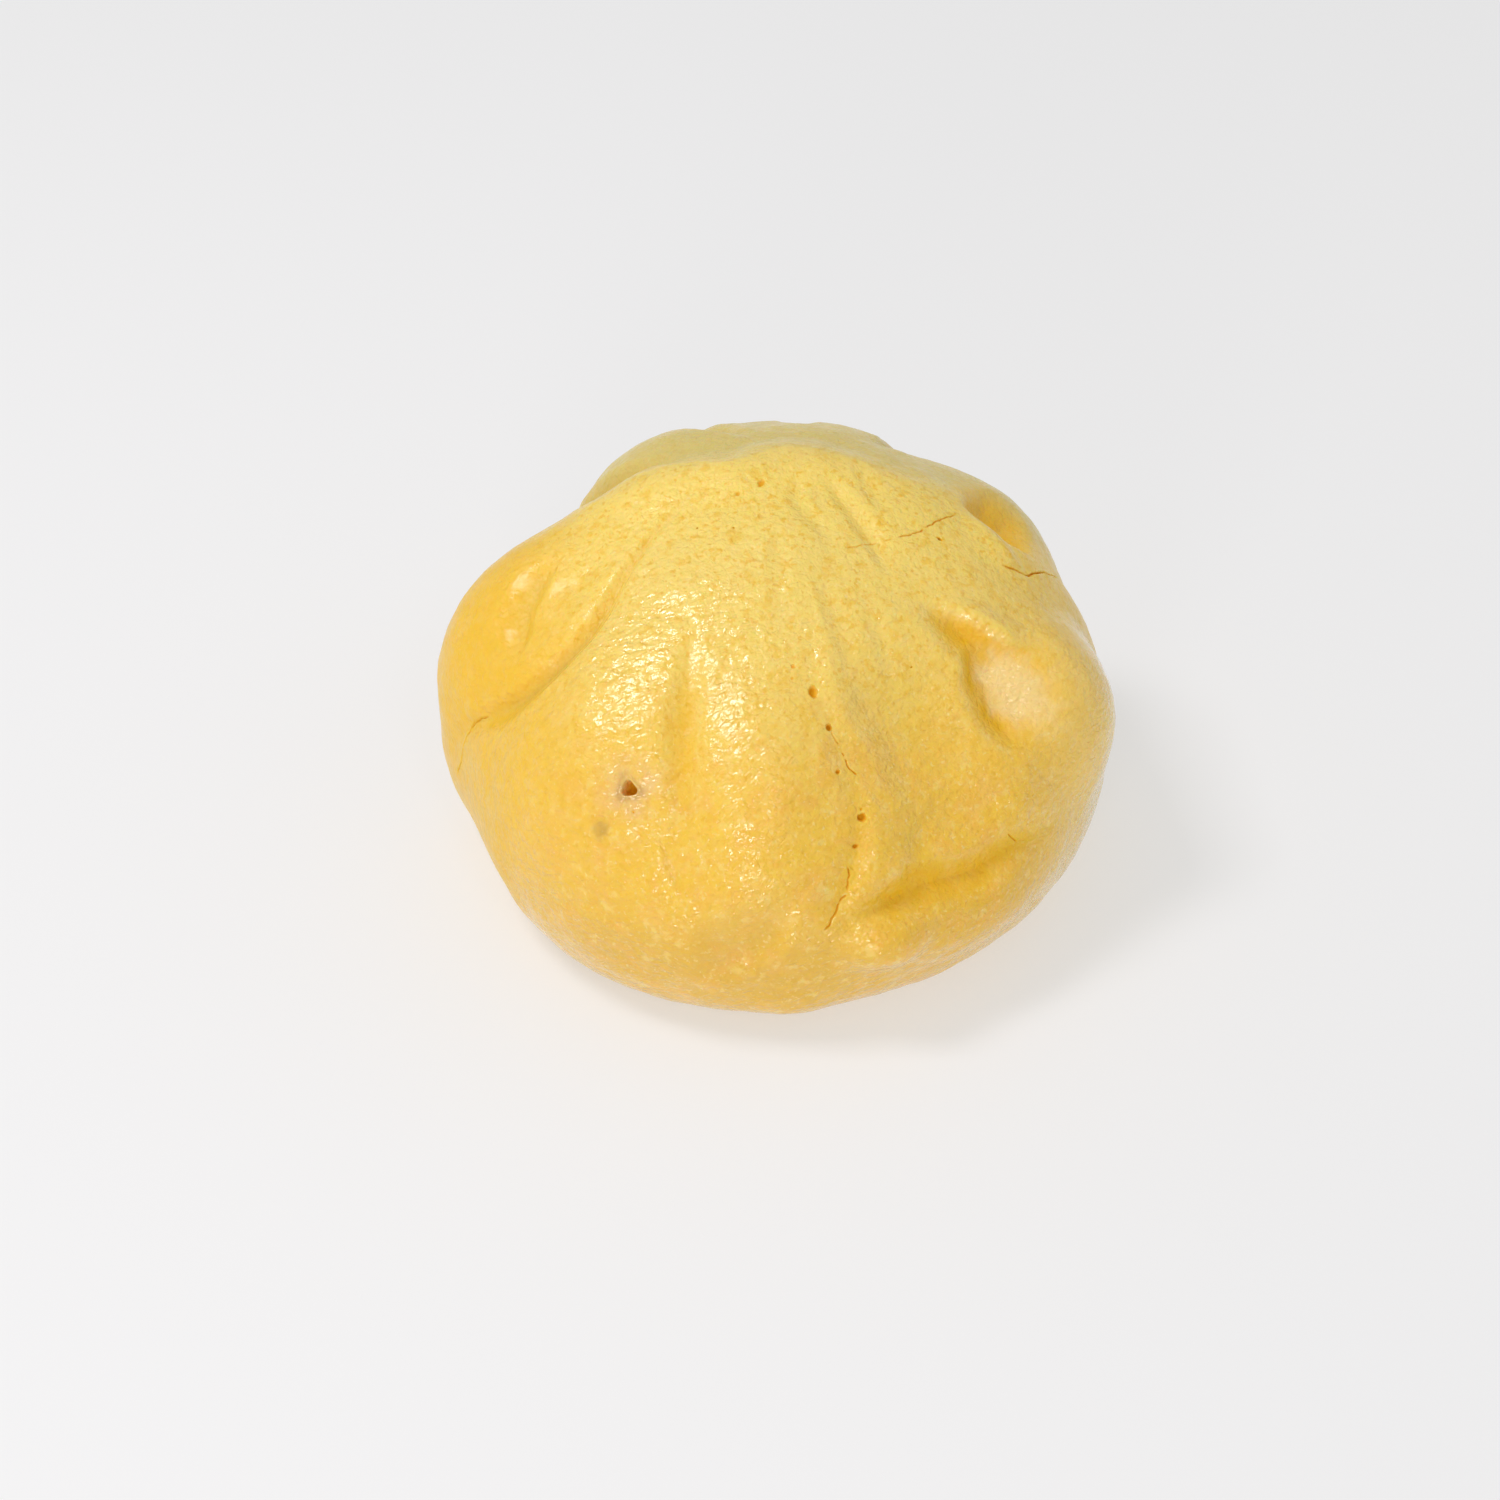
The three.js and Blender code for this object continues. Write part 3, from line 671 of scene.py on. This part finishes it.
    def wanted_edge(self, base, share):
        """The longest edge that the skin should have near each point."""
        wanted = np.full(len(base), OPEN_EDGE)
        for fold in self.folds.values():
            line = path_line(fold.path, PATH_STEPS)
            reach = 0.6 * max(fold.left, fold.right)
            near = near_line(base, line, reach)
            if near.any():
                distance = nearest_on_line(base[near], line)[0]
                wanted[near] = np.where(distance < reach, FOLD_EDGE, wanted[near])
        for pit in PITS:
            close = np.linalg.norm(base - tangent_axes(pit.at)[0], axis=1)
            wanted[close < 1.6 * max(pit.across, pit.down)] = DETAIL_EDGE
        for crack, line in zip(CRACKS, self.cracks):
            near = near_line(base, line, CRACK_REACH)
            if near.any():
                distance = nearest_on_line(base[near], line)[0]
                wanted[near] = np.where(distance < 4 * crack.width, DETAIL_EDGE, wanted[near])
        reach = np.linalg.norm(base - self.vent[0], axis=1)
        wanted[reach < VENT_STAIN_REACH] = 2 * DETAIL_EDGE
        wanted[reach < 2 * VENT_RADIUS] = DETAIL_EDGE
        wanted[share > 1] = UNDER_EDGE
        return wanted


def coarse_places():
    """Rows of places from the gather to the middle of the underside, and their triangles."""
    column = np.repeat(np.arange(COLUMNS), ROWS)
    row = np.tile(np.arange(1, ROWS + 1), COLUMNS)
    direction = np.append(column * TURN / COLUMNS, [0, 0])
    share = np.append(row / ROWS, [0, 2])
    gather = COLUMNS * ROWS
    foot = gather + 1
    triangles = []
    for i in range(COLUMNS):
        here = i * ROWS
        after = (i + 1) % COLUMNS * ROWS
        triangles.append((gather, here, after))
        for j in range(ROWS - 1):
            triangles.append((here + j, here + j + 1, after + j + 1))
            triangles.append((here + j, after + j + 1, after + j))
        triangles.append((foot, after + ROWS - 1, here + ROWS - 1))
    return direction, share, np.array(triangles)


def middle_places(direction, share, edges):
    """The places half way along edges, where the gather and the foot have no direction."""
    a, b = edges.T
    pole_a = (share[a] == 0) | (share[a] == 2)
    pole_b = (share[b] == 0) | (share[b] == 2)
    start = np.where(pole_a, direction[b], direction[a])
    end = np.where(pole_b, direction[a], direction[b])
    turn = np.mod(end - start + TURN / 2, TURN) - TURN / 2
    return start + turn / 2, (share[a] + share[b]) / 2


def split_triangles(triangles, middles, points):
    """Triangles split over the new corners on their edges, where -1 is no corner."""
    has = middles >= 0
    count = has.sum(axis=1)
    first = np.where(count == 1, has.argmax(axis=1), (has.argmin(axis=1) + 1) % 3)
    turned = (np.arange(3) + np.where((count == 1) | (count == 2), first, 0)[:, None]) % 3
    corners = np.take_along_axis(triangles, turned, axis=1)
    middles = np.take_along_axis(middles, turned, axis=1)
    a, b, c = corners.T
    ab, bc, ca = middles.T
    one, two, three = count == 1, count == 2, count == 3
    diagonal = np.linalg.norm(points[a] - points[bc], axis=1)
    other = np.linalg.norm(points[ab] - points[c], axis=1)
    flat = two & (diagonal < other)
    steep = two & ~flat
    pieces = [
        (count == 0, (a, b, c)),
        (one, (a, ab, c)), (one, (ab, b, c)),
        (two, (ab, b, bc)),
        (flat, (a, ab, bc)), (flat, (a, bc, c)),
        (steep, (a, ab, c)), (steep, (ab, bc, c)),
        (three, (a, ab, ca)), (three, (ab, b, bc)), (three, (ca, bc, c)), (three, (ab, bc, ca)),
    ]
    return np.vstack([np.stack(piece, axis=1)[chosen] for chosen, piece in pieces])


def skin_mesh(skin):
    """The skin as triangles, finest at its folds, pits and cracks."""
    direction, share, triangles = coarse_places()
    points, traits = skin.at(direction, share)
    for _ in range(REFINE_ROUNDS):
        sides = np.vstack([triangles[:, ends] for ends in ([0, 1], [1, 2], [2, 0])])
        edges, which = np.unique(np.sort(sides, axis=1), axis=0, return_inverse=True)
        length = np.linalg.norm(points[edges[:, 0]] - points[edges[:, 1]], axis=1)
        place = middle_places(direction, share, edges)
        split = length > skin.wanted_edge(smooth_points(*place), place[1])
        if not split.any():
            break
        added = np.full(len(edges), -1)
        added[split] = len(points) + np.arange(split.sum())
        new_points, new_traits = skin.at(place[0][split], place[1][split])
        direction = np.append(direction, place[0][split])
        share = np.append(share, place[1][split])
        points = np.vstack([points, new_points])
        traits = {name: np.append(traits[name], new_traits[name]) for name in traits}
        middles = added[which.reshape(-1)].reshape(3, -1).T
        triangles = split_triangles(triangles, middles, points)
    return points, triangles, traits


def fit_to_solid(points):
    """The skin in metres, centred on the bun's solid and no larger than its box."""
    low, high = (np.array(corner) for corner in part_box("bun"))
    size = points.max(0) - points.min(0)
    scale = min(MM, ((high - low) / size).min())
    middle = (points.max(0) + points.min(0)) / 2
    moved = (points - middle) * scale
    moved[:, :2] += (high + low)[:2] / 2
    moved[:, 2] += low[2] - moved[:, 2].min()
    return moved


def make_object(name, points, triangles):
    """A mesh object from arrays of points and triangles."""
    mesh = bpy.data.meshes.new(name)
    mesh.from_pydata(points.tolist(), [], triangles.tolist())
    mesh.validate()
    mesh.shade_smooth()
    piece = bpy.data.objects.new(name, mesh)
    bpy.context.scene.collection.objects.link(piece)
    return piece


class Nodes:
    """Short ways to add shader nodes to a material."""

    def __init__(self, name):
        self.material = bpy.data.materials.new(name)
        self.material.use_nodes = True
        self.tree = self.material.node_tree
        self.shader = self.tree.nodes["Principled BSDF"]

    def add(self, kind, settings=(), values=()):
        """A new node with its settings, and values or other nodes' outputs on its inputs."""
        node = self.tree.nodes.new(kind)
        for key, value in dict(settings).items():
            setattr(node, key, value)
        for key, value in dict(values).items():
            self.feed(node.inputs[key], value)
        return node

    def feed(self, socket, value):
        """Links an input to another node's output, or sets its constant."""
        if isinstance(value, bpy.types.NodeSocket):
            self.tree.links.new(value, socket)
        else:
            socket.default_value = value

    def math(self, operation, a, b=0.0, c=0.0):
        node = self.add("ShaderNodeMath", {"operation": operation})
        for socket, value in zip(node.inputs, (a, b, c)):
            self.feed(socket, value)
        return node.outputs[0]

    def times(self, a, b):
        return self.math("MULTIPLY", a, b)

    def vector(self, operation, values, output=0):
        settings = {"operation": operation}
        return self.add("ShaderNodeVectorMath", settings, values).outputs[output]

    def axes(self, where):
        """The X, Y and Z of a place."""
        return self.add("ShaderNodeSeparateXYZ", (), {"Vector": where}).outputs

    def ramp(self, value, low, high, out_low=0.0, out_high=1.0):
        """A smooth step from out_low, where the value is low, to out_high, where it is high."""
        settings = {"interpolation_type": "SMOOTHSTEP"}
        values = {
            "Value": value, "From Min": low, "From Max": high,
            "To Min": out_low, "To Max": out_high,
        }
        return self.add("ShaderNodeMapRange", settings, values).outputs[0]

    def mix(self, amount, a, b):
        """The colour a, turned into the colour b by the amount."""
        return self.add("ShaderNodeMix", {"data_type": "RGBA"}, {0: amount, 6: a, 7: b}).outputs[2]

    def blend(self, amount, a, b):
        """The value a, turned into the value b by the amount."""
        return self.add("ShaderNodeMix", {"data_type": "FLOAT"}, {0: amount, 2: a, 3: b}).outputs[0]

    def noise(self, where, size, detail=2.0, distortion=0.0):
        """Noise from 0 to 1, with spots of about the given size in millimetres."""
        values = {
            "Vector": where, "Scale": 1 / (size * MM),
            "Detail": detail, "Distortion": distortion,
        }
        return self.add("ShaderNodeTexNoise", (), values).outputs["Fac"]

    def bump(self, height):
        """A bump from a height in millimetres."""
        return self.add("ShaderNodeBump", (), {"Height": height, "Distance": MM}).outputs[0]

    def warp(self, where, size, reach):
        """Places moved about at random, by up to about reach millimetres."""
        values = {"Vector": where, "Scale": 1 / (size * MM), "Detail": 1.0}
        drift = self.add("ShaderNodeTexNoise", (), values).outputs["Color"]
        drift = self.vector("SUBTRACT", {0: drift, 1: (0.5, 0.5, 0.5)})
        return self.vector("MULTIPLY_ADD", {0: drift, 1: (2 * reach * MM,) * 3, 2: where})

    def strokes(self, where, facing, size):
        """Short strokes of noise from 0 to 1 that lie across the facing."""
        along = self.vector("DOT_PRODUCT", {0: where, 1: facing}, "Value")
        stretch = self.times(along, STROKE_THINNESS - 1)
        shift = self.vector("SCALE", {0: facing, "Scale": stretch})
        squeezed = self.vector("ADD", {0: where, 1: shift})
        return self.ramp(self.noise(squeezed, size, 1.0), 0.3, 0.7)


def rgb(red, green, blue):
    """A colour as a shader socket takes it."""
    return (red, green, blue, 1.0)


def dough_colour(nodes, where, axes, trait, mottle):
    """The dough's colour: how far each of DOUGH_TINTS covers the one before it."""
    flush = nodes.ramp(nodes.noise(where, 4.5, 2, 0.8), 0.45, 0.7, 0, 0.55)
    specks = nodes.noise(where, 0.6, 1, 0.3)
    back = nodes.ramp(axes["Y"], 0.008, 0.020, 0, 0.75)
    cover = {
        "blotch": nodes.ramp(nodes.noise(where, 9, 3, 0.6), 0.35, 0.7),
        # Painted sheen and light from above, growing toward the top
        "top": nodes.ramp(axes["Z"], 0.028, 0.058),
        # Painted shade, growing toward the foot
        "foot": nodes.ramp(axes["Z"], 0.028, 0.011, 0, 0.75),
        "flush": nodes.times(flush, nodes.ramp(axes["Y"], -0.020, -0.034)),
        "deep mottle": nodes.ramp(mottle, 0.5, 0.68, 0, 0.6),
        "pale mottle": nodes.ramp(mottle, 0.45, 0.3, 0, 0.6),
        "spot": nodes.ramp(nodes.noise(where, 0.9, 1), 0.58, 0.74, 0, 0.7),
        "speck": nodes.ramp(specks, 0.4, 0.2, 0, 0.6),
        # Painted shade and reflection on the high back
        "high back": nodes.times(back, nodes.ramp(axes["Z"], 0.026, 0.044, 0.15, 1)),
        # Painted sheen, growing toward the right
        "right end": nodes.ramp(axes["X"], 0.034, 0.049, 0, 0.6),
        # Painted light: deeper orange growing toward the left
        "left end": nodes.ramp(axes["X"], -0.024, -0.040, 0, 0.8),
        # Painted shade, growing with the depth of the folds
        "sunk": nodes.ramp(trait["sunk"], 0.3, 2.0, 0, 0.6),
        # Painted shade and bounced light in the warm folds and the hollow
        "warm": nodes.ramp(trait["warm"], 0.3, 2, 0, 0.9),
        # Painted highlight on the facet
        "pale": nodes.ramp(trait["pale"], -0.05, 0.85, 0, 0.8),
        "stain": nodes.times(trait["stain"], 0.5),
        # The brown smudge under the hole, with painted shade in the ring round it
        "smudge_and_rim_shade": trait["smudge_and_rim_shade"],
        "pit": nodes.ramp(trait["brown"], 0, 0.5),
        "deep pit": nodes.ramp(trait["brown"], 0.4, 1),
    }
    colour = rgb(*DOUGH_COLOUR)
    for name, tint in DOUGH_TINTS.items():
        colour = nodes.mix(cover[name], colour, rgb(*tint))
    return colour


def glaze_wrinkles(nodes, where, strength):
    """Thin wandering wrinkles in the glaze, across the light on either side of the front."""
    wandering = nodes.warp(where, 2.5, 0.8)
    left = nodes.strokes(wandering, *LEFT_STROKES)
    right = nodes.strokes(wandering, *RIGHT_STROKES)
    east = nodes.axes(nodes.warp(where, 9, 7))["X"]
    wrinkles = nodes.blend(nodes.ramp(east, *STROKES_TO_RIGHT), left, right)
    patches = nodes.noise(where, 5, 2)
    patches = nodes.ramp(patches, 0.35, 0.65, 0.7 * WRINKLE_HEIGHT, WRINKLE_HEIGHT)
    return nodes.times(wrinkles, nodes.times(patches, strength))


def dough_material():
    """Moist steamed dough: soft light inside, a wet glaze in front, pebbled and mottled skin."""
    nodes = Nodes("steamed dough")
    where = nodes.add("ShaderNodeTexCoord").outputs["Object"]
    axes = nodes.axes(where)
    trait = {
        name: nodes.add("ShaderNodeAttribute", {"attribute_name": name}).outputs["Fac"]
        for name in ("warm", "sunk", "brown", "stain", "smudge_and_rim_shade", "pale")
    }
    uneven = nodes.ramp(nodes.noise(where, 2.5, 1), 0.3, 0.7, -0.15, 0.15)
    trait["pale"] = nodes.math("ADD", trait["pale"], uneven)
    mottle = nodes.noise(where, 1.6, 3, 0.3)

    # Sunk skin is drier, but for the pale facet, and pits are dry
    open_skin = nodes.ramp(trait["sunk"], 0.35, 1, 1, 0.1)
    open_skin = nodes.math("MAXIMUM", open_skin, nodes.ramp(trait["pale"], 0.1, 0.6))
    open_skin = nodes.times(open_skin, nodes.ramp(trait["brown"], 0, 0.2, 1, 0))

    # The glaze is thick on the front, as far left as a line that slants forward and left
    slanted = nodes.math("MULTIPLY_ADD", axes["Y"], -GLAZE_SLANT, axes["X"])
    glazed = nodes.ramp(slanted, *GLAZE_FROM_LEFT)
    glazed = nodes.times(glazed, nodes.ramp(axes["Y"], *GLAZE_TO_FRONT))
    glazed = nodes.times(glazed, open_skin)
    coat = nodes.times(nodes.blend(glazed, THIN_GLAZE, 1.0), open_skin)

    # The dough shows swells, grain, pebbles and wrinkles, and the glaze over it no pebbles
    swells = nodes.times(nodes.noise(where, SWELL_SIZE, 2, 0.5), SWELL_HEIGHT)
    swells = nodes.math("MULTIPLY_ADD", nodes.noise(where, GRAIN_SIZE, 1), GRAIN_HEIGHT, swells)
    wrinkled = nodes.times(nodes.ramp(axes["Y"], *WRINKLES_TO_FRONT), open_skin)
    wrinkles = glaze_wrinkles(nodes, where, wrinkled)
    pebbled = nodes.ramp(axes["Z"], *PEBBLES_TO_TOP, 0.3 * PEBBLE_HEIGHT, PEBBLE_HEIGHT)
    under = nodes.math("MULTIPLY_ADD", nodes.noise(where, PEBBLE_SIZE, 1, 0.4), pebbled, swells)
    under = nodes.math("MULTIPLY_ADD", wrinkles, UNDER_GLAZE, under)

    rough = nodes.ramp(mottle, 0.3, 0.7, 0.38, 0.48)
    sockets = {
        "Base Color": dough_colour(nodes, where, axes, trait, mottle),
        "Normal": nodes.bump(under),
        "Coat Normal": nodes.bump(nodes.math("ADD", swells, wrinkles)),
        "Roughness": nodes.math("MAXIMUM", rough, nodes.ramp(trait["brown"], 0, 0.5)),
        "Coat Weight": coat,
        "IOR": 1.36,
        "Subsurface Weight": 0.45,
        "Subsurface Radius": (1.0, 0.55, 0.15),
        "Subsurface Scale": 3 * MM,
        "Coat Roughness": 0.08,
        "Coat IOR": 1.5,
    }
    for name, value in sockets.items():
        nodes.feed(nodes.shader.inputs[name], value)
    return nodes.material


def make_bun():
    """The bun's fine skin, which stands for the plain solid."""
    points, triangles, traits = skin_mesh(Skin())
    bun = make_object("bun_skin", fit_to_solid(points), triangles)
    for name, values in traits.items():
        layer = bun.data.attributes.new(name, "FLOAT", "POINT")
        layer.data.foreach_set("value", values.astype(np.float32))
    bun.data.materials.append(dough_material())
    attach(bun, "root")
    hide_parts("bun")


def make_floor():
    """A plain pale floor that gives out light of its own, so that shadows on it stay soft."""
    corners = np.array([(-1, -1, 0), (1, -1, 0), (1, 1, 0), (-1, 1, 0)]) * FLOOR_HALF
    floor = make_object("floor", corners, np.array([(0, 1, 2), (0, 2, 3)]))
    nodes = Nodes("pale floor")
    sockets = {
        "Base Color": rgb(FLOOR_SHADE, FLOOR_SHADE, FLOOR_SHADE),
        "Roughness": 0.6,
        "Emission Color": rgb(1, 1, 1),
        "Emission Strength": FLOOR_GLOW,
    }
    for name, value in sockets.items():
        nodes.feed(nodes.shader.inputs[name], value)
    floor.data.materials.append(nodes.material)


def aim(thing, place, target):
    """Puts a camera or light at a place and turns it to face a target."""
    thing.location = place
    thing.rotation_mode = "QUATERNION"
    thing.rotation_quaternion = (Vector(place) - Vector(target)).to_track_quat("Z", "Y")


def make_light(name, softbox):
    """A softbox that faces the bun."""
    light = bpy.data.lights.new(name, "AREA")
    light.shape = "RECTANGLE"
    light.size, light.size_y = softbox.size
    light.energy = softbox.power
    light.color = LIGHT_COLOUR
    lamp = bpy.data.objects.new(name, light)
    bpy.context.scene.collection.objects.link(lamp)
    aim(lamp, softbox.place, LIGHT_TARGET)


def make_lights():
    """The softboxes, and even white light from all round."""
    for name, softbox in SOFTBOXES.items():
        make_light(name, softbox)
    world = bpy.data.worlds.new("studio")
    world.use_nodes = True
    background = world.node_tree.nodes["Background"]
    background.inputs["Color"].default_value = rgb(1, 1, 1)
    background.inputs["Strength"].default_value = ROUND_LIGHT
    bpy.context.scene.world = world
    bpy.context.scene.view_settings.view_transform = "Standard"


def make_camera():
    """The camera at the photograph's viewing angle."""
    camera = bpy.data.cameras.new("camera")
    camera.sensor_width = SENSOR_WIDTH
    camera.lens = SENSOR_WIDTH / 2 / math.tan(math.radians(CAMERA_VIEW_ANGLE) / 2)
    holder = bpy.data.objects.new("camera", camera)
    bpy.context.scene.collection.objects.link(holder)
    elevation = math.radians(CAMERA_ELEVATION)
    target = Vector(CAMERA_TARGET) * MM
    back = Vector((0, -math.cos(elevation), math.sin(elevation)))
    aim(holder, target + back * CAMERA_DISTANCE * MM, target)
    bpy.context.scene.camera = holder


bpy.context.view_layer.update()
make_camera()
make_floor()
make_bun()
make_lights()
